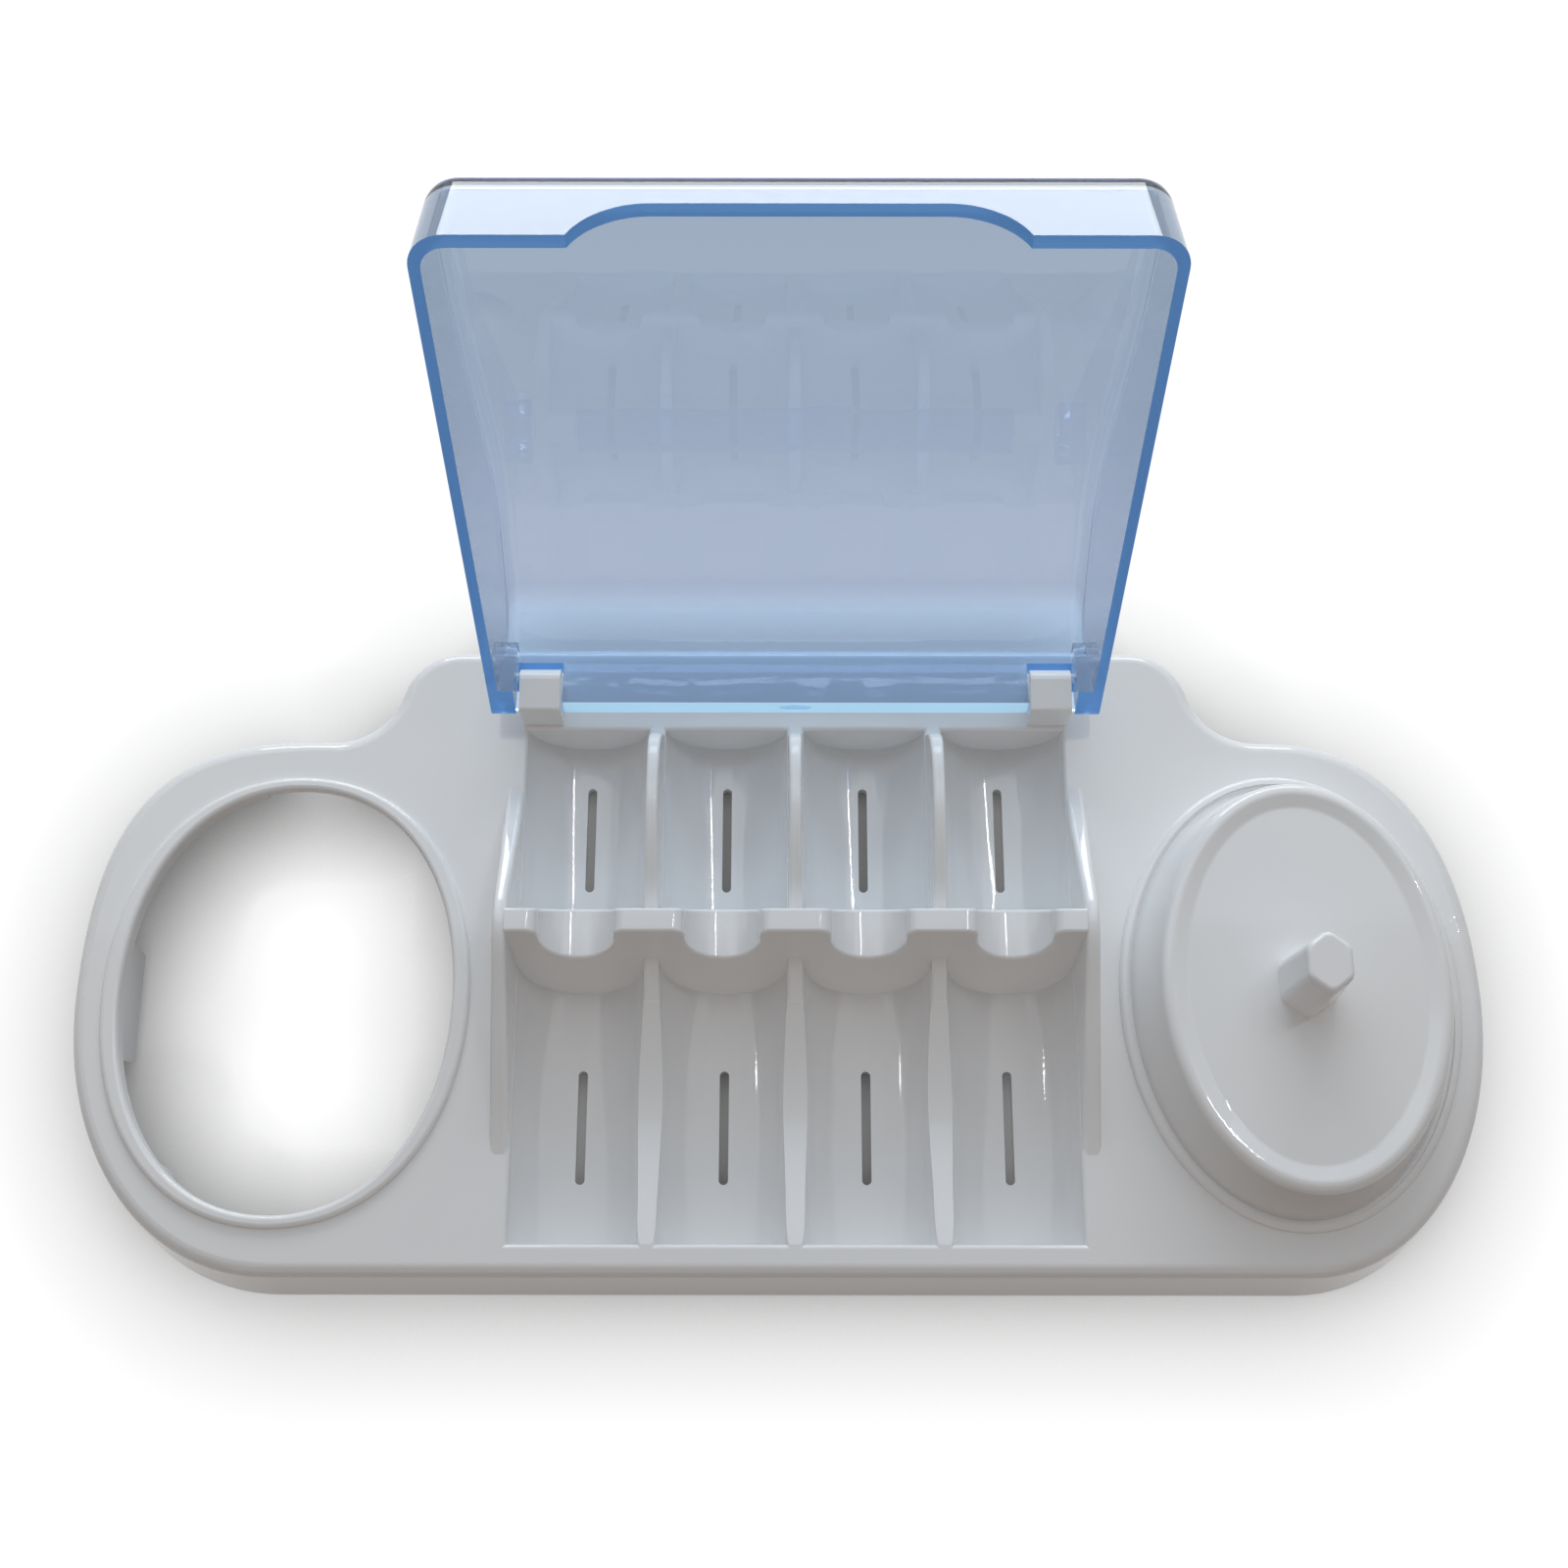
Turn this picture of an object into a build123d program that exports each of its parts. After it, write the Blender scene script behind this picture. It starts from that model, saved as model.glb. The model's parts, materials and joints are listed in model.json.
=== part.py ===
from build123d import *
import os
from math import cos, radians, sin, tan

# Countertop holder for an electric toothbrush: a moulded tray with an opening for the
# charger, eight cradles for brush heads under a flip-up lid, and a stand for the handle.
# Millimetres, +Z up, +Y to the back. The sizes below are in the tray's own frame:
# X from the middle of the cradle row, Y from the cradles' front lip, Z from the deck's top.

# Tray: deck, skirt and outline
deck_wall = 2.0
skirt_wall = 2.0
skirt_height = 12.0
skirt_flare = 1.9
edge_round = 2.0
wing_y = 36.0
wing_half_depth = 40.3
left_wing_offset = 23.4
left_wing_half = 31.5
right_wing_offset = 21.1
right_wing_half = 28.7
wing_front_fullness = 2.05
left_wing_rear_fullness = 2.6
right_wing_rear_fullness = 2.27
ear_half_width = 52.4
ear_back_y = 91.2
ear_corner = 9.1
ear_slope = 75.0

# Cradles for the brush heads
cradle_count = 4
cradle_pitch = 21.4
cradle_radius = 9.4
cradle_length = 78.2
cradle_wall = 1.8
cradle_lip_round = 0.6
slot_width = 1.4
slot_length = 17.0
front_slot_y = 18.0
rear_slot_y = 63.1

# Ribs between the cradles: each dips before the bar and rises to a crest behind it
rib_front_slope = -0.16
rib_dip_y = 23.0
rib_dip = 2.9
rib_rise_y = 35.2
rib_rise_slope = 0.5
rib_at_bar = 4.2
rib_crest_back = 10.2
rib_crest = 9.6
rib_shoulder_back = 4.2
rib_shoulder = 7.2
rib_end_back = 0.7
rib_end_slope = -5.0
rib_inset = 0.1
rib_lean = 0.3
rib_edge_round = 0.5

# Bar that carries the necks of the brush heads
bar_y = 45.0
bar_height = 11.0
bar_top = 3.4
bar_slope = 0.24
neck_radius = 5.5
neck_floor = 2.5
neck_corner = 2.0
bar_edge_round = 0.5

# Cheeks at the two ends of the bar
cheek_wall = 3.0
cheek_lean_out = 0.4
cheek_lean_in = 0.7
cheek_front_y = 12.3
cheek_rear_y = 70.0
cheek_peak_y = 46.0
cheek_rise = [(26.5, 4.9), (36.6, 8.6)]
cheek_fall = [(52.5, 7.8), (61.4, 3.1)]
cheek_rise_slope = 0.25
cheek_fall_slope = -0.06
cheek_edge_round = 0.8

# Opening for the charger, with its bead, tongues and way out for the lead
charger_offset_x = 0.05
charger_offset_y = 0.1
charger_half_width = 24.74
charger_half_depth = 32.15
charger_fullness = 2.14
bead_height = 0.75
bead_width_side = 2.66
bead_width_end = 1.9
bead_round = 0.7
tongue_half_width = 9.5
tongue_lean = 1.2
tongue_wall = 1.8
tongue_depth = 9.5
tongue_proud = 0.05
lead_recess_left = 5.5
lead_recess_right = 17.5
lead_recess_reach = 5.0
lead_skin = 0.9
lead_exit_width = 9.0
lead_exit_height = 6.5

# Handle stand, a separate insert in the right wing
stand_half_width = 23.7
stand_half_depth = 32.8
stand_height = 11.2
stand_draft = 3.0
stand_wall = 2.0
stand_rim_round = 1.5
flange_width = 1.6
flange_height = 0.9
flange_round_out = 0.75
dish_rim = 1.5
dish_depth = 0.6
dish_slope = 2.0
dish_round = 1.2
spigot_clearance = 0.3
spigot_depth = 4.0
peg_half_width = 4.1
peg_half_depth = 5.6
peg_flat = 2.7
peg_height = 12.3
peg_draft = 0.9
peg_side_round = 1.7
peg_top_round = 0.8
peg_wall = 1.9

# Hinge: two lugs on the tray, two pins on the lid
hinge_y = 83.85
hinge_z = 5.1
lug_inner_x = 36.0
lug_outer_x = 42.2
lug_front_y = 79.0
lug_front_height = 6.6
lug_radius = 2.2
lug_back_taper = 0.35
lug_edge_round = 0.5
pin_radius = 1.2
pin_clearance = 0.05
pin_length = 4.3
pin_end_gap = 0.4

# Lid, measured closed
lid_half_width = 46.5
lid_front_y = -3.7
lid_wall = 1.5
lid_front_wall = 1.9
lid_top_wall = 1.6
lid_rear_wall = 2.4
lid_rear_offset = 1.0
lid_draft = 3.0
lid_corner = 4.8
lid_edge_round = 3.0
lid_gap = 0.3
lid_front_height = 13.5
lid_front_slope = 0.06
lid_slope_y = 22.0
lid_slope_height = 15.8
lid_rise_y = 44.0
lid_rise_height = 20.6
lid_crest_y = 57.5
lid_crest_height = 22.0
lid_shoulder_run = 11.0
lid_shoulder_height = 19.3
lid_rear_height = 9.9
lid_open_angle = 108.5
notch_half_width = 27.4
notch_half_level = 17.7
notch_depth = 6.4
arm_gap = 0.5
arm_front = 4.0
arm_rear = 2.8
arm_top = 5.0
arm_round = 2.2
lug_cut_gap = 0.4
lug_cut_rise = 3.05

# Rubber feet under the wings
foot_radius = 3.0
foot_height = 2.5
foot_seat_depth = 1.5
foot_seat_clearance = 0.1
foot_post_wall = 1.1
foot_round = 0.4
foot_ear_inset = 8.5
foot_share = 0.56

# The origin stands on the table, in the middle of the open holder's footprint
middle_x = -2.55
middle_y = 56.45

# What follows from those sizes
table_z = -skirt_height - (foot_height - foot_seat_depth)
left_wing_x = -ear_half_width - left_wing_offset
right_wing_x = ear_half_width + right_wing_offset
charger_x = left_wing_x + charger_offset_x
charger_y = wing_y + charger_offset_y
stand_x = right_wing_x
stand_y = wing_y
wing_front_y = wing_y - wing_half_depth
wing_rear_y = wing_y + wing_half_depth
cradle_xs = [(i - (cradle_count - 1) / 2) * cradle_pitch for i in range(cradle_count)]
rib_xs = [x + cradle_pitch / 2 for x in cradle_xs[:-1]]
rib_half_base = cradle_pitch / 2 - cradle_radius
row_half_width = cradle_xs[-1] + cradle_radius
cheek_outer_x = row_half_width + cheek_wall
spread = 200.0
over = 1.0
skin = 0.1
flush = 0.001
place = Pos(-middle_x, -middle_y, -table_z)
hinge_axis = Axis((0, hinge_y, hinge_z), (1, 0, 0))


def handle_ratio(fullness):
    """Bezier handle, as a share of the half axis, of a quarter of an oval this full."""
    return (8 * 2 ** (-1 / fullness) - 4) / 3


def oval_quarters(x, y, half_x, half_y, fullness):
    """The four quarters of an oval, from its front point round by the right."""
    k = handle_ratio(fullness)
    a, b = half_x, half_y
    front, right, back, left = (x, y - b), (x + a, y), (x, y + b), (x - a, y)
    return [
        Bezier(front, (x + k * a, y - b), (x + a, y - k * b), right),
        Bezier(right, (x + a, y + k * b), (x + k * a, y + b), back),
        Bezier(back, (x - k * a, y + b), (x - a, y + k * b), left),
        Bezier(left, (x - a, y - k * b), (x - k * a, y - b), front),
    ]


def oval_prism(x, y, half_x, half_y, fullness, low, high):
    """Upright prism on an oval."""
    face = make_face(oval_quarters(x, y, half_x, half_y, fullness))
    return extrude(Pos(0, 0, low) * face, amount=high - low)


def drafted_ellipse(x, y, low, high, low_halves, high_halves):
    """Solid between two ellipses, one above the other."""
    bottom = Pos(x, y, low) * Ellipse(*low_halves)
    top = Pos(x, y, high) * Ellipse(*high_halves)
    return Solid.make_loft([bottom.wire(), top.wire()], ruled=True)


def along_x(face_yz, x_from, x_to):
    """Prism along X of a face drawn with its first axis on Y and its second on Z."""
    plane = Plane((x_from, 0, 0), x_dir=(0, 1, 0), z_dir=(1, 0, 0))
    return extrude(plane * face_yz, amount=x_to - x_from)


def along_y(face_xz, y_from, y_to):
    """Prism along Y of a face drawn with its first axis on X and its second on Z."""
    plane = Plane((0, y_to, 0), x_dir=(1, 0, 0), z_dir=(0, -1, 0))
    return extrude(plane * face_xz, amount=y_to - y_from)


def both_sides(solid):
    """The solid and its mirror image across the middle of the cradle row."""
    return [solid, mirror(solid, about=Plane.YZ)]


def tray_outline(grow, z):
    """Outline of the tray, let out by grow, as a closed wire at height z."""
    front = wing_front_y - grow
    rear = wing_rear_y + grow
    back = ear_back_y + grow
    half_y = wing_half_depth + grow
    right_half, left_half = right_wing_half + grow, left_wing_half + grow
    slope_x, slope_y = sin(radians(ear_slope)), cos(radians(ear_slope))
    arcs_reach = (ear_back_y - wing_rear_y) / (1 - slope_y)
    turn_x = ear_half_width + (ear_corner + grow) * slope_x
    turn_y = ear_back_y - ear_corner + (ear_corner + grow) * slope_y
    hollow_x = ear_half_width + arcs_reach * slope_x
    hollow = arcs_reach - ear_corner - grow
    corner = ear_corner + grow

    right = oval_quarters(right_wing_x, wing_y, right_half, half_y, wing_front_fullness)[:1]
    right += oval_quarters(
        right_wing_x, wing_y, right_half, half_y, right_wing_rear_fullness)[1:2]
    left = oval_quarters(
        left_wing_x, wing_y, left_half, half_y, left_wing_rear_fullness)[2:3]
    left += oval_quarters(left_wing_x, wing_y, left_half, half_y, wing_front_fullness)[3:]
    ears = [
        Line((right_wing_x, rear), (hollow_x, rear)),
        RadiusArc((hollow_x, rear), (turn_x, turn_y), hollow),
        RadiusArc((turn_x, turn_y), (ear_half_width, back), -corner),
        Line((ear_half_width, back), (-ear_half_width, back)),
        RadiusArc((-ear_half_width, back), (-turn_x, turn_y), -corner),
        RadiusArc((-turn_x, turn_y), (-hollow_x, rear), hollow),
        Line((-hollow_x, rear), (left_wing_x, rear)),
    ]
    front_line = Line((left_wing_x, front), (right_wing_x, front))
    return (Pos(0, 0, z) * make_face([front_line] + right + ears + left)).wire()


def tray_block():
    """The tray's outside as one solid, flared down to the skirt's foot."""
    block = Solid.make_loft(
        [tray_outline(skirt_flare, -skirt_height), tray_outline(0, 0)], ruled=True)
    top_edges = block.faces().sort_by(Axis.Z)[-1].edges()
    return fillet(top_edges, edge_round)


def tray_hollow():
    """The space under the deck, inside the skirt."""
    flare_at = skirt_flare / skirt_height
    low, high = -skirt_height - over, -deck_wall
    return Solid.make_loft(
        [tray_outline(-flare_at * low - skirt_wall, low),
         tray_outline(-flare_at * high - skirt_wall, high)], ruled=True)


def cradle_shells():
    """Half-round walls under the deck that the cradles are cut into."""
    reach = cradle_radius + cradle_wall
    under = Pos(0, 0, -reach / 2 - skin) * Box(spread, spread, reach)
    shells = [
        along_y(Pos(x, 0) * Circle(reach), -cradle_wall, cradle_length + cradle_wall)
        for x in cradle_xs
    ]
    return [shell & Pos(0, cradle_length / 2, 0) * under for shell in shells]


def cradle_cuts(radius, shorten):
    """The hollows of the cradles, one along each pitch line."""
    return [
        along_y(Pos(x, 0) * Circle(radius), shorten, cradle_length - shorten)
        for x in cradle_xs
    ]


def drain_slots():
    """Two slots in the floor of every cradle."""
    slot = Rot(0, 0, 90) * SlotOverall(slot_length, slot_width)
    low = -skirt_height
    return [
        extrude(Pos(x, y, low) * slot, amount=-low)
        for x in cradle_xs
        for y in (front_slot_y, rear_slot_y)
    ]


def rib_dips():
    """What is cut from the deck between the cradles, where the ribs lie lower than it."""
    line = Spline((0, 0), (rib_dip_y, -rib_dip), (rib_rise_y, 0),
                  tangents=((1, rib_front_slope), (1, rib_rise_slope)))
    side = make_face([line, Polyline(line @ 1, (rib_rise_y, over), (0, over), line @ 0)])
    half = rib_half_base + rib_dip / 2
    return [along_x(side, x - half, x + half) for x in rib_xs]


def ribs():
    """Drafted ribs that rise from the deck between the cradles, with rounded tops."""
    end = cradle_length - rib_end_back
    root = -rib_dip - over
    high = rib_crest + over
    line = Spline(
        (rib_rise_y, -skin), (bar_y, rib_at_bar),
        (cradle_length - rib_crest_back, rib_crest),
        (cradle_length - rib_shoulder_back, rib_shoulder), (end, 0),
        tangents=((1, rib_rise_slope), (1, rib_end_slope)))
    side = make_face([line, Polyline(line @ 1, (end, root), (rib_rise_y, root), line @ 0)])
    foot = rib_half_base - rib_inset - rib_lean * root / rib_crest
    top = rib_half_base - rib_inset - rib_lean * high / rib_crest
    across = make_face(Polyline(
        (-foot, root), (foot, root), (top, high), (-top, high), close=True))
    rib = along_x(side, -2 * foot, 2 * foot) & along_y(across, 0, cradle_length)
    crest = [e for e in rib.edges()
             if e.bounding_box().size.Y > cradle_length / 3 and e.center().Z > 0]
    rib = fillet(crest, rib_edge_round)
    return [Pos(x, 0) * rib for x in rib_xs]


def bar_body():
    """Notched bar across the cradles, drafted front and back, down to their floors."""
    def half_at(z):
        return bar_top / 2 + bar_slope * (bar_height - z)

    floor = -cradle_radius - skin
    half_length = row_half_width + skin + cheek_lean_in
    section = make_face(Polyline(
        (bar_y - half_at(floor), floor), (bar_y + half_at(floor), floor),
        (bar_y + bar_top / 2, bar_height), (bar_y - bar_top / 2, bar_height), close=True))
    bar = along_x(section, -half_length, half_length)
    front_view = Pos(0, (bar_height + floor) / 2) * Rectangle(
        2 * half_length, bar_height - floor)
    neck_z = neck_floor + neck_radius
    for x in cradle_xs:
        front_view -= Pos(x, neck_z) * Circle(neck_radius)
        front_view -= Pos(x, neck_z + neck_radius) * Rectangle(
            2 * neck_radius, 2 * neck_radius)
    top_corners = [
        v for v in front_view.vertices()
        if abs(v.Y - bar_height) < skin and abs(v.X) < row_half_width
    ]
    front_view = fillet(top_corners, neck_corner)
    bar &= along_y(front_view, bar_y - spread / 2, bar_y + spread / 2)
    bar = fillet(rim_edges(bar), bar_edge_round)
    above = Pos(0, bar_y, (bar_height + over) / 2 - skin) * Box(spread, spread, bar_height + over)
    lower = [bar & cut for cut in cradle_cuts(cradle_radius + skin, -skin)]
    return [bar & above] + lower


def rim_edges(bar):
    """Edges where the bar's sloping faces meet its top and the walls of its necks."""
    return [
        e for e in bar.edges()
        if e.center().Z > 0 and abs(abs(e.center().Y - bar_y) - bar_top / 2)
        < bar_slope * bar_height and not is_across(e) and abs(e.center().X) < row_half_width
        and e.bounding_box().min.Z > 0
    ]


def is_across(edge):
    """True for an edge that runs from the bar's front face to its back face."""
    box = edge.bounding_box()
    return box.size.Y > bar_top - skin and box.size.X < skin


def cheek():
    """Humped wall at the right end of the bar, which leans a little on both faces."""
    line = Spline(
        (cheek_front_y, -skin), *cheek_rise, (cheek_peak_y, bar_height), *cheek_fall,
        (cheek_rear_y, -skin), tangents=((1, cheek_rise_slope), (1, cheek_fall_slope)))
    side = make_face([line, Line(line @ 1, line @ 0)])
    across = make_face(Polyline(
        (row_half_width + skin, -over), (cheek_outer_x, -over),
        (cheek_outer_x - cheek_lean_out, bar_height + over),
        (row_half_width + cheek_lean_in, bar_height + over), close=True))
    wall = along_x(side, row_half_width - over, cheek_outer_x + over)
    wall &= along_y(across, cheek_front_y - over, cheek_rear_y + over)
    half_length = (cheek_rear_y - cheek_front_y) / 2
    crest = [e for e in wall.edges()
             if e.bounding_box().size.Y > half_length and e.center().Z > 1]
    return fillet(crest, cheek_edge_round)


def lug():
    """Hinge lug at the right, rounded about the hinge line, with a blind hole."""
    top = hinge_z + lug_radius
    back = hinge_y + lug_radius
    foot_back = back - lug_back_taper
    side = make_face([
        Line((lug_front_y, -skin), (lug_front_y, lug_front_height)),
        Line((lug_front_y, lug_front_height), (hinge_y, top)),
        RadiusArc((hinge_y, top), (back, hinge_z), lug_radius),
        Line((back, hinge_z), (foot_back, hinge_z - lug_radius / 2)),
        Line((foot_back, hinge_z - lug_radius / 2), (foot_back, -skin)),
        Line((foot_back, -skin), (lug_front_y, -skin)),
    ])
    body = along_x(side, lug_inner_x, lug_outer_x)
    front_top = [e for e in body.edges().filter_by(Axis.X)
                 if abs(e.center().Z - lug_front_height) < skin]
    body = fillet(front_top, lug_edge_round)
    bore = along_x(Pos(hinge_y, hinge_z) * Circle(pin_radius + pin_clearance),
                   lug_outer_x + arm_gap - pin_length - pin_end_gap, lug_outer_x + over)
    return body - bore


def charger_bead():
    """Raised bead round the charger's opening."""
    ring = oval_prism(charger_x, charger_y, charger_half_width + bead_width_side,
                      charger_half_depth + bead_width_end, charger_fullness,
                      -skin, bead_height)
    ring -= charger_hole(0)
    return fillet(ring.faces().sort_by(Axis.Z)[-1].edges(), bead_round)


def charger_hole(grow):
    """The charger's opening as a solid through the deck, let out by grow."""
    return oval_prism(charger_x, charger_y, charger_half_width + grow,
                      charger_half_depth + grow, charger_fullness,
                      -skirt_height, bead_height + over)


def charger_tongues():
    """Tongues that hang at the two sides of the opening and guide the charger."""
    low = -tongue_depth
    inner = charger_half_width - tongue_proud
    shape = make_face(Polyline(
        (charger_y - tongue_half_width, -deck_wall / 2),
        (charger_y - tongue_half_width + tongue_lean, low),
        (charger_y + tongue_half_width - tongue_lean, low),
        (charger_y + tongue_half_width, -deck_wall / 2), close=True))
    left = along_x(shape, charger_x - inner - tongue_wall, charger_x - inner)
    right = along_x(shape, charger_x + inner, charger_x + inner + tongue_wall)
    return [left, right]


def lead_ways():
    """Thinned deck behind the charger and an arch in the rear skirt, for its lead."""
    rear = charger_y + charger_half_depth
    width = lead_recess_left + lead_recess_right
    length = 2 * lead_recess_reach
    recess = Pos(charger_x + (lead_recess_right - lead_recess_left) / 2, rear,
                 -deck_wall - lead_skin) * Box(width, length, 2 * deck_wall)
    arch = Pos(0, -skirt_height) * Rectangle(lead_exit_width, 2 * lead_exit_height)
    arch = fillet(arch.vertices().group_by(Axis.Y)[-1], lead_exit_width / 3)
    mouth = along_y(Pos(charger_x, 0) * arch, wing_rear_y - 2 * skirt_wall,
                    wing_rear_y + 2 * skirt_wall)
    return [recess, mouth]


def foot_places():
    """Front feet between skirt and openings on the wings' diagonals, rear feet in the ears."""
    k = 2 ** (-1 / wing_front_fullness)
    wing_reach_y = k * (wing_half_depth + skirt_flare)
    ear_foot_y = ear_back_y - foot_ear_inset
    places = {
        "foot_rear_left": (-ear_half_width, ear_foot_y),
        "foot_rear_right": (ear_half_width, ear_foot_y),
    }
    for name, sign, x, wing_half, hole_half_x, hole_half_y, fullness in (
            ("foot_front_left", -1, left_wing_x, left_wing_half, charger_half_width,
             charger_half_depth, charger_fullness),
            ("foot_front_right", 1, right_wing_x, right_wing_half, stand_half_width,
             stand_half_depth, 2)):
        m = 2 ** (-1 / fullness)
        wing_reach_x = k * (wing_half + skirt_flare)
        out_x = foot_share * wing_reach_x + (1 - foot_share) * m * hole_half_x
        out_y = foot_share * wing_reach_y + (1 - foot_share) * m * hole_half_y
        places[name] = (x + sign * out_x, wing_y - out_y)
    return places


def foot_posts(block):
    """Posts under the deck that carry the feet, kept inside the skirt."""
    radius = foot_radius + foot_seat_clearance + foot_post_wall
    posts = []
    for x, y in foot_places().values():
        post = Pos(x, y, -skirt_height) * Cylinder(
            radius, skirt_height - deck_wall / 2, align=(Align.CENTER, Align.CENTER, Align.MIN))
        posts.append(post & block)
    return posts


def foot_seats():
    """Blind seats in the posts' ends."""
    radius = foot_radius + foot_seat_clearance
    return [
        Pos(x, y, -skirt_height - over) * Cylinder(
            radius, foot_seat_depth + over, align=(Align.CENTER, Align.CENTER, Align.MIN))
        for x, y in foot_places().values()
    ]


def stand_hole():
    """The handle stand's opening in the deck."""
    return ellipse_prism(0, -skirt_height, over)


def base_tray():
    """The whole moulded tray."""
    block = tray_block()
    tray = block - tray_hollow()
    for shell in cradle_shells():
        tray += shell
    for cut in cradle_cuts(cradle_radius, 0):
        tray -= cut
    tray = fillet(cradle_rims(tray), cradle_lip_round)
    for part in foot_posts(block) + [charger_bead()]:
        tray += part
    for cut in [charger_hole(0), stand_hole()] + lead_ways() + foot_seats():
        tray -= cut
    for part in charger_tongues():
        tray += part
    for cut in rib_dips():
        tray -= cut
    for part in ribs() + bar_body() + both_sides(cheek()) + both_sides(lug()):
        tray += part
    for slot in drain_slots():
        tray -= slot
    return tray


def cradle_rims(tray):
    """Edges of the cradles in the deck's top face."""
    return [
        e for e in tray.edges()
        if abs(e.bounding_box().min.Z) < flush and abs(e.bounding_box().max.Z) < flush
        and abs(e.center().X) < row_half_width + skin
        and -skin < e.center().Y < cradle_length + skin
    ]


def handle_stand():
    """Raised oval stand with a six-sided peg that the handle's foot slips over."""
    lean = stand_draft
    outer = drafted_ellipse(
        stand_x, stand_y, 0, stand_height, (stand_half_width, stand_half_depth),
        (stand_half_width - lean, stand_half_depth - lean))
    outer = fillet(outer.faces().sort_by(Axis.Z)[-1].edges(), stand_rim_round)
    flange = ellipse_prism(flange_width, 0, flange_height)
    flange = fillet(flange.faces().sort_by(Axis.Z)[-1].edges(), flange_round_out)
    groove = ellipse_prism(flange_width / 4, flange_height / 2, flange_height + over)
    stand = (flange - groove) + outer
    stand += ellipse_prism(-spigot_clearance, -spigot_depth, 0)
    slope = lean / stand_height
    low = -spigot_depth - over
    high = stand_height - stand_wall
    shrink = stand_wall + spigot_clearance
    hollow = drafted_ellipse(
        stand_x, stand_y, low, high,
        (stand_half_width - shrink, stand_half_depth - shrink),
        (stand_half_width - shrink - slope * high, stand_half_depth - shrink - slope * high))
    floor = stand_height - dish_depth
    rim = lean + dish_rim
    inside = rim + dish_slope
    dish = drafted_ellipse(
        stand_x, stand_y, floor, stand_height,
        (stand_half_width - inside, stand_half_depth - inside),
        (stand_half_width - rim, stand_half_depth - rim))
    stand = stand - hollow - dish
    dish_edges = [e for e in stand.edges() if e.center().Z > floor - skin
                  and e.bounding_box().size.X < 2 * (stand_half_width - rim) + skin]
    stand = fillet(dish_edges, dish_round)
    stand += peg(floor - skin, stand_height + peg_height, 0, True)
    stand -= peg(high - over, stand_height + peg_height - peg_wall, peg_wall, False)
    return stand


def ellipse_prism(grow, low, high):
    """Upright prism on the stand's oval foot, let out by grow."""
    face = Pos(stand_x, stand_y, low) * Ellipse(
        stand_half_width + grow, stand_half_depth + grow)
    return extrude(face, amount=high - low)


def peg(low, high, inset, rounded):
    """Six-sided drafted peg between two heights, inset all round."""
    def ring(z, shrink):
        a = peg_half_width - shrink
        b = peg_half_depth - shrink
        c = peg_flat - shrink / 2
        points = [(a, -c), (a, c), (0, b), (-a, c), (-a, -c), (0, -b)]
        return (Pos(stand_x, stand_y, z) * make_face(Polyline(*points, close=True))).wire()

    body = Solid.make_loft([ring(low, inset), ring(high, inset + peg_draft)], ruled=True)
    if not rounded:
        return body
    sides = [e for e in body.edges() if e.bounding_box().size.Z > 1]
    body = fillet(sides, peg_side_round)
    return fillet(body.faces().sort_by(Axis.Z)[-1].edges(), peg_top_round)


def lid_section(front_wall, top_wall, rear_wall):
    """Side view of the closed lid: its arched top and its rear, inset by the walls."""
    rear = hinge_y + lid_rear_offset - rear_wall
    front = lid_front_y + front_wall
    low = lid_gap
    drop = low - top_wall
    top = Spline(
        (front, lid_front_height + drop),
        (lid_slope_y, lid_slope_height + drop),
        (lid_rise_y, lid_rise_height + drop),
        (lid_crest_y, lid_crest_height + drop),
        (rear - lid_shoulder_run, lid_shoulder_height + drop),
        (rear, lid_rear_height + drop),
        tangents=((1, lid_front_slope), (0, -1)))
    return make_face([
        top,
        Line(top @ 1, (rear, low)),
        Line((rear, low), (front - over, low)),
        Line((front - over, low), (front - over, lid_front_height + drop)),
        Line((front - over, lid_front_height + drop), top @ 0),
    ])


def lid_plan(inset, front_inset, corner):
    """Drafted block on the lid's plan, inset by its walls, open at the rear."""
    rear = hinge_y + 2 * lid_rear_wall
    wires = []
    for z in (lid_gap, lid_gap + lid_crest_height + over):
        lean = tan(radians(lid_draft)) * (z - lid_gap)
        half = lid_half_width - inset - lean
        front = lid_front_y + front_inset + lean
        plan = Pos(0, (front + rear) / 2) * Rectangle(2 * half, rear - front)
        plan = fillet(plan.vertices().group_by(Axis.Y)[0], corner)
        wires.append((Pos(0, 0, z) * plan).wire())
    return Solid.make_loft(wires, ruled=True)


def lid_solid(front_wall, top_wall, rear_wall, side_wall, corner, edge_round):
    """The closed lid's outer form or its hollow, as a solid with rounded top edges."""
    section = lid_section(front_wall, top_wall, rear_wall)
    body = along_x(section, -spread / 2, spread / 2) & lid_plan(side_wall, front_wall, corner)
    edges = [
        e for e in body.edges()
        if e.bounding_box().max.Z > lid_gap + lid_front_height - top_wall - 2 * skin
        and e.bounding_box().min.Z > lid_gap + skin
    ]
    return fillet(edges, edge_round)


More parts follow.
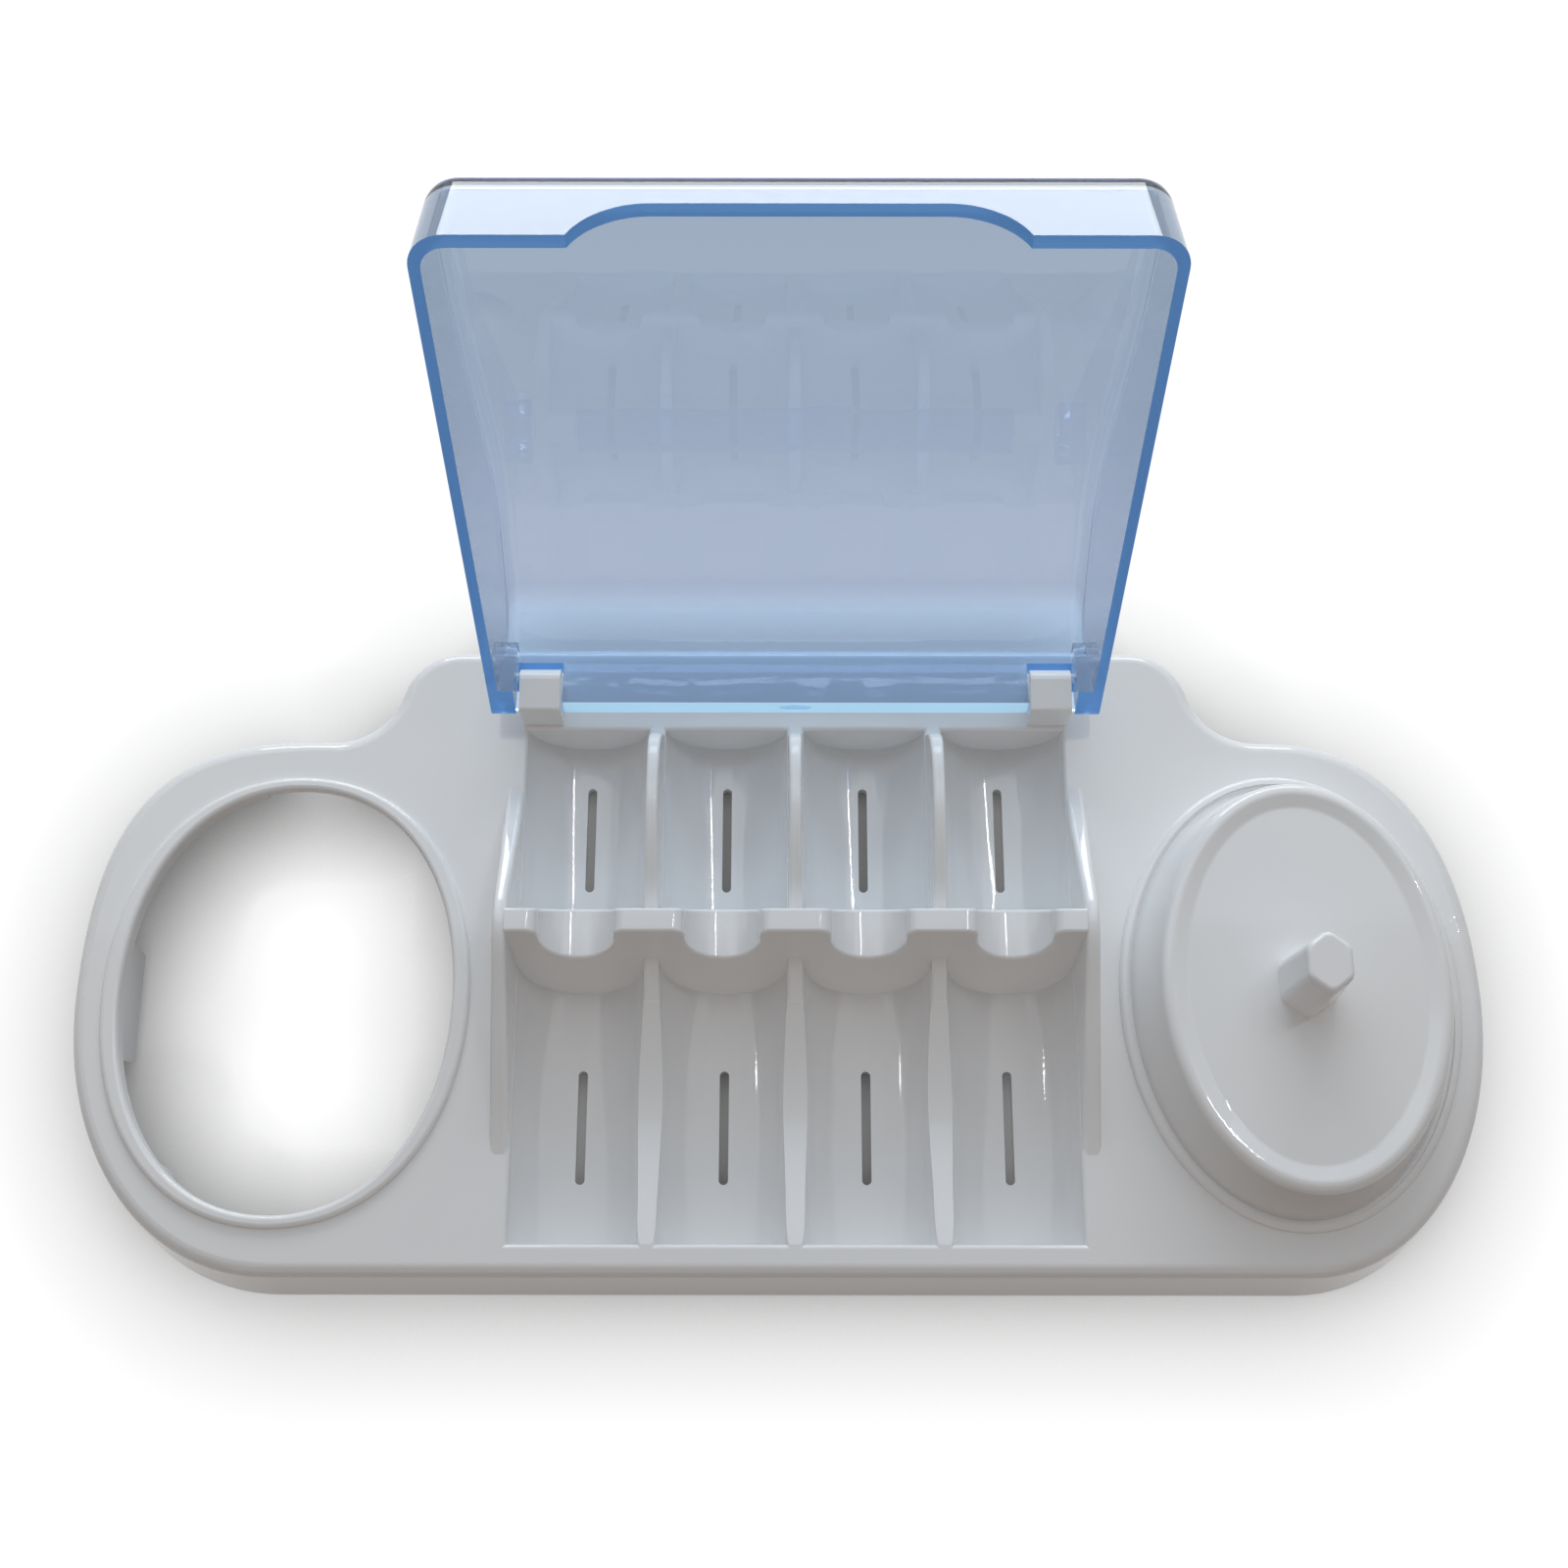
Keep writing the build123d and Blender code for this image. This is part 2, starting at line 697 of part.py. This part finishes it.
def finger_notch():
    """Shallow arch cut in the lid's front rim, to lift it by."""
    run = notch_half_width - notch_half_level
    radius = (run ** 2 + notch_depth ** 2) / (2 * notch_depth)
    level = lid_gap + notch_depth
    outline = make_face([
        RadiusArc((-notch_half_width, lid_gap), (-notch_half_level, level), radius),
        Line((-notch_half_level, level), (notch_half_level, level)),
        RadiusArc((notch_half_level, level), (notch_half_width, lid_gap), radius),
        Line((notch_half_width, lid_gap), (notch_half_width, lid_gap - over)),
        Line((notch_half_width, lid_gap - over), (-notch_half_width, lid_gap - over)),
        Line((-notch_half_width, lid_gap - over), (-notch_half_width, lid_gap)),
    ])
    return along_y(outline, lid_front_y - over, lid_front_y + 2 * lid_front_wall + over)


def arm():
    """Thick end of the lid's right wall beside the lug, with the hinge pin."""
    inner_x = lug_outer_x + arm_gap
    low = lid_gap
    high = hinge_z + arm_top
    front, rear = hinge_y - arm_front, hinge_y + arm_rear
    pad = Pos((front + rear) / 2, (low + high) / 2) * Rectangle(rear - front, high - low)
    pad = fillet(pad.vertices().group_by(Axis.X)[-1], arm_round)
    body = along_x(pad, inner_x, lid_half_width + over) & lid_plan(0, 0, lid_corner)
    pin = along_x(Pos(hinge_y, hinge_z) * Circle(pin_radius),
                  inner_x - pin_length, inner_x + skin)
    tip = pin.faces().sort_by(Axis.X)[0].edges()
    return body + chamfer(tip, pin_radius / 4)


def lug_cut():
    """Way through the lid's rear wall for the right lug."""
    high = hinge_z + lug_cut_rise
    face = make_face(Polyline(
        (hinge_y - 2 * lid_rear_wall, lid_gap - over), (hinge_y + 2 * lid_rear_wall, lid_gap - over),
        (hinge_y + 2 * lid_rear_wall, high), (hinge_y - 2 * lid_rear_wall, high), close=True))
    return along_x(face, lug_inner_x - lug_cut_gap, lug_outer_x + arm_gap)


def closed_lid():
    """The lid as it lies when closed, with its arms and pins in one moulding."""
    lid = lid_solid(0, 0, 0, 0, lid_corner, lid_edge_round)
    lid -= lid_solid(lid_front_wall, lid_top_wall, lid_rear_wall, lid_wall,
                     lid_corner - lid_wall, lid_edge_round - lid_wall + skin)
    lid -= finger_notch()
    for cut in both_sides(lug_cut()):
        lid -= cut
    for part in both_sides(arm()):
        lid += part
    return lid


def flip_lid():
    """The lid turned back to its open stop, as it stands at rest."""
    return closed_lid().rotate(hinge_axis, -lid_open_angle)


def foot(x, y):
    """Rubber foot, a disc with a rounded sole, up in its seat."""
    disc = Pos(x, y, -skirt_height + foot_seat_depth) * Cylinder(
        foot_radius, foot_height, align=(Align.CENTER, Align.CENTER, Align.MAX))
    return fillet(disc.faces().sort_by(Axis.Z)[0].edges(), foot_round)


def main():
    """Builds every piece and writes one file for each."""
    pieces = {
        "base_tray": base_tray(),
        "flip_lid": flip_lid(),
        "handle_stand": handle_stand(),
    }
    for name, (x, y) in foot_places().items():
        pieces[name] = foot(x, y)
    os.makedirs("parts", exist_ok=True)
    for name, piece in pieces.items():
        export_step(place * piece, f"parts/{name}.step")
    hinge = place * Pos(0, hinge_y, hinge_z)
    print("hinge line", hinge.position)


if __name__ == "__main__":
    main()
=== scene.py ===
import json
from math import pi, radians
import bmesh
import bpy
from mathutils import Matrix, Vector


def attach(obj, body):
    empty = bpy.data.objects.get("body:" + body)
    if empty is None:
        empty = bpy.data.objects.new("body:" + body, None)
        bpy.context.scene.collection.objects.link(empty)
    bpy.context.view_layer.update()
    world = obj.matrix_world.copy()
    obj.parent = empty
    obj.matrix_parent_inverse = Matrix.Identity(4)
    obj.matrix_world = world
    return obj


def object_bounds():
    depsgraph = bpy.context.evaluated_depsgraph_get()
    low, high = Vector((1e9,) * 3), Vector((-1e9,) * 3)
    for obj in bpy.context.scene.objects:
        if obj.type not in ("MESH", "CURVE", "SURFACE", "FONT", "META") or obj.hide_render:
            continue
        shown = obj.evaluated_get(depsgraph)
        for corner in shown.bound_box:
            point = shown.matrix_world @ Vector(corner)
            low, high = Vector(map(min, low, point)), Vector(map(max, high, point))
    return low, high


# Looks, light and camera for the countertop toothbrush holder. Metres, +Z up, +Y to the back.

# Camera, solved from the photograph
camera_place = (0.00094, -0.08252, 0.29953)
camera_tilt = 18.42
camera_roll = 0.07
camera_lens = 44.995
camera_sensor = 36.0
camera_near = 0.01

# Share of a noise at which a tone or a roughness starts and ends its run. A tone or a
# polish below has the size, detail and stretch of its noise, and a bump also its depth
noise_run = (0.3, 0.7)

# White moulded plastic
white_light = (0.865, 0.87, 0.875)
white_dark = (0.84, 0.845, 0.85)
white_gloss = (0.012, 0.025)
white_ior = 1.53
white_tone = (0.045, 3.0)
white_polish = (0.006, 4.0, (1.0, 0.25, 1.0))
white_ripple = (0.009, 0.00001)
white_grain = (0.0004, 0.000003)

# Clear blue plastic: absorption per metre of depth for red, green and blue, and tints at the top,
# the foot and below the rear heights of the lid at rest. The tints are the plastic's blue with
# painted shade darkening the top, and painted light brightening the foot and the low rear
blue_absorption = (30.0, 17.0, 6.5)
blue_top = (0.30, 0.37, 0.465)
blue_foot_painted_light = (0.42, 0.48, 0.62)
blue_rear_painted_light = (0.52, 0.67, 0.88)
rear_height = (0.0185, 0.0215)
blue_shadow = (0.95, 0.965, 0.98)
blue_gloss = (0.014, 0.026)
blue_ior = 1.49
blue_polish = (0.008, 3.0, (1.0, 0.2, 1.0))
blue_flow = (0.02, 0.0000008, 1.0, (1.0, 0.15, 0.15))

# Rim of the lid, painted with a glow that stands in for the light that travels inside the walls.
# The painted glow is pale low between the hinge lugs and blue elsewhere, and the rim lets some
# light through from behind
rim_facing = (0.0, -0.9483, 0.3173)
rim_behind_hinge = -0.0032
rim_edge = 0.0001
rim_normals = (0.35, 0.45)
rim_painted_glow_blue = (0.15, 0.44, 1.0)
rim_painted_glow_pale = (0.62, 0.87, 1.0)
rim_pale_height = (0.0215, 0.0265)
rim_pale_middle = 0.00255
rim_pale_half = (0.0352, 0.0360)
rim_through = (0.15, 0.6)
rim_clear = 0.14
rim_roughness = 0.30

# Mark of the mould's gate on the lid's rear rim, placed from the hinge line
gate_place = (0.0, -0.00449, 0.00171)
gate_halves = (0.0025, 0.0006, 0.00014)
gate_tilt = 71.5
gate_segments = (48, 24)

# Rubber of the feet
rubber_light = (0.42, 0.42, 0.43)
rubber_dark = (0.34, 0.34, 0.35)
rubber_gloss = (0.62, 0.78)
rubber_tone = (0.002, 3.0)
rubber_polish = (0.001, 2.0)
rubber_grain = (0.0003, 0.00002)

# Floor, whose shadow shows within that reach of the object, and surroundings
floor_half = 3.0
floor_colour = (0.21, 0.19, 0.18)
floor_shown = (0.13, 0.13, 0.13)
floor_glow = 0.955
shade_reach = 0.02
shade_power = 1.25
sky_front = (0.225, 0.19, 0.16)
sky_back = (0.25, 0.26, 0.28)

# Lamps: direction from the holder, distance, size and brightness of its face
window = ((0.0, 0.955, 0.30), 1.2, (1.0, 0.32), 6.0)
ceiling = ((0.0, 0.77, 0.64), 0.42, (0.9, 0.62), 0.73)
front_fill = ((0.0, -0.93, 0.37), 1.5, (1.6, 0.6), 0.42)
line_right = ((0.43, 0.282, 0.858), 6.0, (0.06, 1.3), 55.0)
line_left = ((-0.883, 0.17, 0.436), 6.0, (0.05, 0.22), 60.0)
window_colour = (0.96, 0.98, 1.0)
ceiling_colour = (0.82, 0.92, 1.0)
front_colour = (1.0, 0.87, 0.77)
light_bounces = 24


def add_node(tree, kind, **settings):
    """New node of that kind, with its settings."""
    node = tree.nodes.new(kind)
    for name, value in settings.items():
        setattr(node, name, value)
    return node


def link(tree, output, socket):
    """Joins two sockets."""
    tree.links.new(output, socket)


def new_material(name):
    """Empty material, with its node tree and output node."""
    material = bpy.data.materials.new(name)
    material.use_nodes = True
    tree = material.node_tree
    tree.nodes.clear()
    return material, tree, add_node(tree, "ShaderNodeOutputMaterial")


def noise(tree, size, detail=2.0, stretch=(1, 1, 1)):
    """Noise with features of about that size, in the object's own coordinates."""
    place = add_node(tree, "ShaderNodeTexCoord")
    mapping = add_node(tree, "ShaderNodeMapping")
    mapping.inputs["Scale"].default_value = stretch
    pattern = add_node(tree, "ShaderNodeTexNoise")
    pattern.inputs["Scale"].default_value = 1 / size
    pattern.inputs["Detail"].default_value = detail
    link(tree, place.outputs["Object"], mapping.inputs["Vector"])
    link(tree, mapping.outputs["Vector"], pattern.inputs["Vector"])
    return pattern.outputs["Fac"]


def by_height(tree, low, high):
    """Zero at the low height of the lid at rest and one at the high one."""
    place = add_node(tree, "ShaderNodeTexCoord")
    parts = add_node(tree, "ShaderNodeSeparateXYZ")
    spread = add_node(tree, "ShaderNodeMapRange")
    spread.inputs["From Min"].default_value = low
    spread.inputs["From Max"].default_value = high
    link(tree, place.outputs["Object"], parts.inputs["Vector"])
    link(tree, parts.outputs["Z"], spread.inputs["Value"])
    return spread.outputs["Result"]


def on_rim(tree):
    """One on the lid's rim and on the rounded edges beside it, zero elsewhere."""
    reach = Vector(frame["joints"][0]["pos_m"]).dot(Vector(rim_facing)) + rim_behind_hinge
    both = add_node(tree, "ShaderNodeMath", operation="MULTIPLY")
    place = add_node(tree, "ShaderNodeTexCoord")
    for i, (output, low, high) in enumerate((
            ("Normal", *rim_normals), ("Object", reach - rim_edge, reach))):
        along = add_node(tree, "ShaderNodeVectorMath", operation="DOT_PRODUCT")
        along.inputs[1].default_value = rim_facing
        spread = add_node(tree, "ShaderNodeMapRange")
        spread.inputs["From Min"].default_value = low
        spread.inputs["From Max"].default_value = high
        link(tree, place.outputs[output], along.inputs[0])
        link(tree, along.outputs["Value"], spread.inputs["Value"])
        link(tree, spread.outputs["Result"], both.inputs[i])
    return both.outputs["Value"]


def on_rear_strip(tree, rim):
    """One on the part of the rim that lies low between the hinge lugs, zero elsewhere."""
    place = add_node(tree, "ShaderNodeTexCoord")
    parts = add_node(tree, "ShaderNodeSeparateXYZ")
    aside = add_node(tree, "ShaderNodeMath", operation="SUBTRACT")
    aside.inputs[1].default_value = rim_pale_middle
    away = add_node(tree, "ShaderNodeMath", operation="ABSOLUTE")
    link(tree, place.outputs["Object"], parts.inputs["Vector"])
    link(tree, parts.outputs["X"], aside.inputs[0])
    link(tree, aside.outputs["Value"], away.inputs[0])
    strip = rim
    for output, (full, none) in ((away.outputs["Value"], rim_pale_half),
                                 (parts.outputs["Z"], rim_pale_height)):
        spread = add_node(tree, "ShaderNodeMapRange")
        spread.inputs["From Min"].default_value = full
        spread.inputs["From Max"].default_value = none
        spread.inputs["To Min"].default_value = 1.0
        spread.inputs["To Max"].default_value = 0.0
        both = add_node(tree, "ShaderNodeMath", operation="MULTIPLY")
        link(tree, output, spread.inputs["Value"])
        link(tree, strip, both.inputs[0])
        link(tree, spread.outputs["Result"], both.inputs[1])
        strip = both.outputs["Value"]
    return strip


def mix(tree, share, first, second, kind="RGBA"):
    """Mix of two colours or values, each an output or a plain value."""
    node = add_node(tree, "ShaderNodeMix", data_type=kind)
    names = {"RGBA": ("A_Color", "B_Color", "Result_Color"),
             "FLOAT": ("A_Float", "B_Float", "Result_Float")}[kind]
    sockets = {socket.identifier: socket for socket in [*node.inputs, *node.outputs]}
    link(tree, share, sockets["Factor_Float"])
    for name, value in zip(names, (first, second)):
        if isinstance(value, bpy.types.NodeSocket):
            link(tree, value, sockets[name])
        else:
            sockets[name].default_value = value
    return sockets[names[2]]


def between(tree, factor, low, high):
    """Value that runs from low to high with a noise factor."""
    spread = add_node(tree, "ShaderNodeMapRange")
    spread.inputs["From Min"].default_value = noise_run[0]
    spread.inputs["From Max"].default_value = noise_run[1]
    spread.inputs["To Min"].default_value = low
    spread.inputs["To Max"].default_value = high
    link(tree, factor, spread.inputs["Value"])
    return spread.outputs["Result"]


def two_tones(tree, factor, dark, light):
    """Colour that runs between two tones with a noise factor."""
    ramp = add_node(tree, "ShaderNodeValToRGB")
    for element, position, tone in zip(ramp.color_ramp.elements, noise_run, (dark, light)):
        element.position = position
        element.color = (*tone, 1)
    link(tree, factor, ramp.inputs["Fac"])
    return ramp.outputs["Color"]


def bump(tree, size, depth, detail=2.0, stretch=(1, 1, 1), under=None):
    """Noise bump of that size and depth, on top of another bump if one is given."""
    height = noise(tree, size, detail, stretch)
    node = add_node(tree, "ShaderNodeBump")
    node.inputs["Strength"].default_value = 1.0
    node.inputs["Distance"].default_value = depth
    link(tree, height, node.inputs["Height"])
    if under is not None:
        link(tree, under, node.inputs["Normal"])
    return node.outputs["Normal"]


def white_plastic():
    """Glossy white moulding with a faint ripple from the mould and fine polish marks."""
    material, tree, output = new_material("white_plastic")
    shader = add_node(tree, "ShaderNodeBsdfPrincipled")
    shader.inputs["IOR"].default_value = white_ior
    tone = two_tones(tree, noise(tree, *white_tone), white_dark, white_light)
    link(tree, tone, shader.inputs["Base Color"])
    polish = between(tree, noise(tree, *white_polish), *white_gloss)
    link(tree, polish, shader.inputs["Roughness"])
    ripple = bump(tree, *white_ripple)
    link(tree, bump(tree, *white_grain, under=ripple), shader.inputs["Normal"])
    link(tree, shader.outputs["BSDF"], output.inputs["Surface"])
    return material


def depth_colour(tree):
    """Absorption that colours the clear plastic by its depth."""
    depth = add_node(tree, "ShaderNodeVolumeAbsorption")
    strongest = max(blue_absorption)
    depth.inputs["Color"].default_value = (*(1 - a / strongest for a in blue_absorption), 1)
    depth.inputs["Density"].default_value = strongest
    return depth.outputs["Volume"]


def lit_through(tree, surface, colour, share):
    """That share of the surface lets light through from behind, in that colour."""
    through = add_node(tree, "ShaderNodeBsdfTranslucent")
    lit = add_node(tree, "ShaderNodeMixShader")
    link(tree, colour, through.inputs["Color"])
    link(tree, share, lit.inputs["Fac"])
    link(tree, surface, lit.inputs[1])
    link(tree, through.outputs["BSDF"], lit.inputs[2])
    return lit.outputs["Shader"]


def clear_for_light(tree, surface):
    """The surface, clear and tinted for shadow and diffuse rays, so that light gets past it."""
    clear = add_node(tree, "ShaderNodeBsdfTransparent")
    clear.inputs["Color"].default_value = (*blue_shadow, 1)
    rays = add_node(tree, "ShaderNodeLightPath")
    passing = add_node(tree, "ShaderNodeMath", operation="MAXIMUM")
    mixed = add_node(tree, "ShaderNodeMixShader")
    link(tree, rays.outputs["Is Shadow Ray"], passing.inputs[0])
    link(tree, rays.outputs["Is Diffuse Ray"], passing.inputs[1])
    link(tree, passing.outputs["Value"], mixed.inputs["Fac"])
    link(tree, surface, mixed.inputs[1])
    link(tree, clear.outputs["BSDF"], mixed.inputs[2])
    return mixed.outputs["Shader"]


def clear_blue_plastic():
    """Clear blue moulding, coloured by its depth, with painted light and shade in its tints by
    height and a painted glow on its rim.
    """
    material, tree, output = new_material("clear_blue_plastic")
    shader = add_node(tree, "ShaderNodeBsdfPrincipled")
    shader.inputs["IOR"].default_value = blue_ior
    rim = on_rim(tree)
    strip = on_rear_strip(tree, rim)
    # Painted light and shade on the lid: the tint is lighter towards the foot and low at the rear,
    # and darker at the top
    painted_plate_tint = mix(tree, by_height(tree, cad_low.z, cad_high.z), (*blue_foot_painted_light, 1), (*blue_top, 1))
    painted_wall_tint = mix(tree, by_height(tree, *rear_height), (*blue_rear_painted_light, 1), painted_plate_tint)
    # Painted glow of the rim, blue, and pale on the low rear strip, in place of light that travels
    # inside the walls
    glow = mix(tree, strip, (*rim_painted_glow_blue, 1), (*rim_painted_glow_pale, 1))
    link(tree, mix(tree, rim, painted_wall_tint, glow), shader.inputs["Base Color"])
    link(tree, mix(tree, rim, 1.0, rim_clear, "FLOAT"), shader.inputs["Transmission Weight"])
    polish = between(tree, noise(tree, *blue_polish), *blue_gloss)
    link(tree, mix(tree, rim, polish, rim_roughness, "FLOAT"), shader.inputs["Roughness"])
    link(tree, bump(tree, *blue_flow), shader.inputs["Normal"])

    share = add_node(tree, "ShaderNodeMath", operation="MULTIPLY")
    link(tree, rim, share.inputs[0])
    link(tree, mix(tree, strip, *rim_through, "FLOAT"), share.inputs[1])
    surface = lit_through(tree, shader.outputs["BSDF"], glow, share.outputs["Value"])
    link(tree, clear_for_light(tree, surface), output.inputs["Surface"])
    link(tree, depth_colour(tree), output.inputs["Volume"])
    return material


def foot_rubber():
    """Grey rubber with a fine matt grain."""
    material, tree, output = new_material("foot_rubber")
    shader = add_node(tree, "ShaderNodeBsdfPrincipled")
    tone = two_tones(tree, noise(tree, *rubber_tone), rubber_dark, rubber_light)
    link(tree, tone, shader.inputs["Base Color"])
    matt = between(tree, noise(tree, *rubber_polish), *rubber_gloss)
    link(tree, matt, shader.inputs["Roughness"])
    link(tree, bump(tree, *rubber_grain), shader.inputs["Normal"])
    link(tree, shader.outputs["BSDF"], output.inputs["Surface"])
    return material


def shown_rays(tree):
    """One for rays that see the background: the camera's, and those that mirror or pass through."""
    rays = add_node(tree, "ShaderNodeLightPath")
    some = add_node(tree, "ShaderNodeMath", operation="MAXIMUM")
    every = add_node(tree, "ShaderNodeMath", operation="MAXIMUM")
    link(tree, rays.outputs["Is Camera Ray"], some.inputs[0])
    link(tree, rays.outputs["Is Glossy Ray"], some.inputs[1])
    link(tree, some.outputs["Value"], every.inputs[0])
    link(tree, rays.outputs["Is Transmission Ray"], every.inputs[1])
    return every.outputs["Value"]


def floor():
    """Plain white floor that keeps a soft shadow under the object."""
    bpy.ops.mesh.primitive_plane_add(size=2 * floor_half, location=(0, 0, cad_low.z))
    plane = bpy.context.object
    plane.name = "floor"
    material, tree, output = new_material("floor_white")
    lit = add_node(tree, "ShaderNodeBsdfDiffuse")
    lit.inputs["Color"].default_value = (*floor_colour, 1)
    shaded = add_node(tree, "ShaderNodeBsdfDiffuse")
    shaded.inputs["Color"].default_value = (*floor_shown, 1)
    near = add_node(tree, "ShaderNodeAmbientOcclusion")
    near.inputs["Distance"].default_value = shade_reach
    open_part = add_node(tree, "ShaderNodeMath", operation="POWER")
    open_part.inputs[1].default_value = shade_power
    link(tree, near.outputs["AO"], open_part.inputs[0])
    strength = add_node(tree, "ShaderNodeMath", operation="MULTIPLY")
    strength.inputs[1].default_value = floor_glow
    link(tree, open_part.outputs["Value"], strength.inputs[0])
    glow = add_node(tree, "ShaderNodeEmission")
    link(tree, strength.outputs["Value"], glow.inputs["Strength"])
    shown = add_node(tree, "ShaderNodeAddShader")
    link(tree, shaded.outputs["BSDF"], shown.inputs[0])
    link(tree, glow.outputs["Emission"], shown.inputs[1])
    mixed = add_node(tree, "ShaderNodeMixShader")
    link(tree, shown_rays(tree), mixed.inputs["Fac"])
    link(tree, lit.outputs["BSDF"], mixed.inputs[1])
    link(tree, shown.outputs["Shader"], mixed.inputs[2])
    link(tree, mixed.outputs["Shader"], output.inputs["Surface"])
    plane.data.materials.append(material)


def surroundings():
    """Room light, cooler and brighter from the back, in front of a white background."""
    world = bpy.data.worlds.new("room")
    bpy.context.scene.world = world
    world.use_nodes = True
    tree = world.node_tree
    tree.nodes.clear()
    output = add_node(tree, "ShaderNodeOutputWorld")
    place = add_node(tree, "ShaderNodeTexCoord")
    parts = add_node(tree, "ShaderNodeSeparateXYZ")
    link(tree, place.outputs["Generated"], parts.inputs["Vector"])
    backward = add_node(tree, "ShaderNodeMapRange")
    backward.inputs["From Min"].default_value = -1.0
    link(tree, parts.outputs["Y"], backward.inputs["Value"])
    sky = add_node(tree, "ShaderNodeValToRGB")
    sky.color_ramp.elements[0].color = (*sky_front, 1)
    sky.color_ramp.elements[1].color = (*sky_back, 1)
    link(tree, backward.outputs["Result"], sky.inputs["Fac"])
    light = add_node(tree, "ShaderNodeBackground")
    link(tree, sky.outputs["Color"], light.inputs["Color"])
    white = add_node(tree, "ShaderNodeBackground")
    mixed = add_node(tree, "ShaderNodeMixShader")
    white.inputs["Color"].default_value = (1, 1, 1, 1)
    link(tree, shown_rays(tree), mixed.inputs["Fac"])
    link(tree, light.outputs["Background"], mixed.inputs[1])
    link(tree, white.outputs["Background"], mixed.inputs[2])
    link(tree, mixed.outputs["Shader"], output.inputs["Surface"])


def lamp(name, direction, distance, size, brightness, colour=(1, 1, 1)):
    """Rectangular lamp that faces the middle of the holder, with a face of that brightness."""
    data = bpy.data.lights.new(name, "AREA")
    data.shape = "RECTANGLE"
    data.size, data.size_y = size
    data.energy = brightness * pi * size[0] * size[1]
    data.color = colour
    light = bpy.data.objects.new(name, data)
    bpy.context.scene.collection.objects.link(light)
    aim = Vector(direction).normalized()
    light.location = (cad_low + cad_high) / 2 + aim * distance
    light.rotation_euler = aim.to_track_quat("Z", "Y").to_euler()
    light.visible_camera = False


def lamps():
    """A window, a ceiling, a fill from the front and two thin lamps for lines in the cradles."""
    lamp("window", *window, window_colour)
    lamp("ceiling", *ceiling, ceiling_colour)
    lamp("front_fill", *front_fill, front_colour)
    lamp("line_right", *line_right)
    lamp("line_left", *line_left)


def camera():
    """The photograph's camera."""
    data = bpy.data.cameras.new("camera")
    data.sensor_width = camera_sensor
    data.lens = camera_lens
    data.clip_start = camera_near
    view = bpy.data.objects.new("camera", data)
    view.location = camera_place
    view.rotation_euler = (radians(camera_tilt), 0, radians(camera_roll))
    bpy.context.scene.collection.objects.link(view)
    bpy.context.scene.camera = view


def dress_nodes():
    """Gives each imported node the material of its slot."""
    white, blue, rubber = white_plastic(), clear_blue_plastic(), foot_rubber()
    for name, node in frame["nodes"].items():
        if name.startswith("foot"):
            finish = rubber
        elif name == "flip_lid":
            finish = blue
        else:
            finish = white
        node.data.materials.clear()
        node.data.materials.append(finish)
    gate_mark(blue)


def gate_mark(finish):
    """Low oval left by the mould's gate in the middle of the lid's rear rim."""
    mesh = bpy.data.meshes.new("gate_mark")
    shape = bmesh.new()
    around, along = gate_segments
    bmesh.ops.create_uvsphere(shape, u_segments=around, v_segments=along, radius=1.0)
    bmesh.ops.scale(shape, vec=gate_halves, verts=shape.verts)
    shape.to_mesh(mesh)
    shape.free()
    mesh.polygons.foreach_set("use_smooth", [True] * len(mesh.polygons))
    mark = bpy.data.objects.new("gate_mark", mesh)
    bpy.context.scene.collection.objects.link(mark)
    mark.location = Vector(frame["joints"][0]["pos_m"]) + Vector(gate_place)
    mark.rotation_euler = (radians(gate_tilt), 0, 0)
    mesh.materials.append(finish)
    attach(mark, "lid")


def light_paths():
    """Enough bounces for light that travels inside the clear lid's walls."""
    cycles = bpy.context.scene.cycles
    cycles.max_bounces = light_bounces
    cycles.transmission_bounces = light_bounces
    cycles.glossy_bounces = light_bounces


with open("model.json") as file:
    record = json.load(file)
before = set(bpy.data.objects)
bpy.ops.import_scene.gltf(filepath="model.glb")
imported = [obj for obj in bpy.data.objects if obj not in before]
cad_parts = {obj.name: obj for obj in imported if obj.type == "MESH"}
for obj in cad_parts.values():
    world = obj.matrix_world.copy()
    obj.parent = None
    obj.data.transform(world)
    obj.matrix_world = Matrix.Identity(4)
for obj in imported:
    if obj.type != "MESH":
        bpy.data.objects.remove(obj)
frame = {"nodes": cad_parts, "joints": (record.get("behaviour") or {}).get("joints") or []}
cad_low, cad_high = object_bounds()
bpy.context.scene.view_settings.view_transform = "Standard"
dress_nodes()
floor()
surroundings()
lamps()
light_paths()
camera()
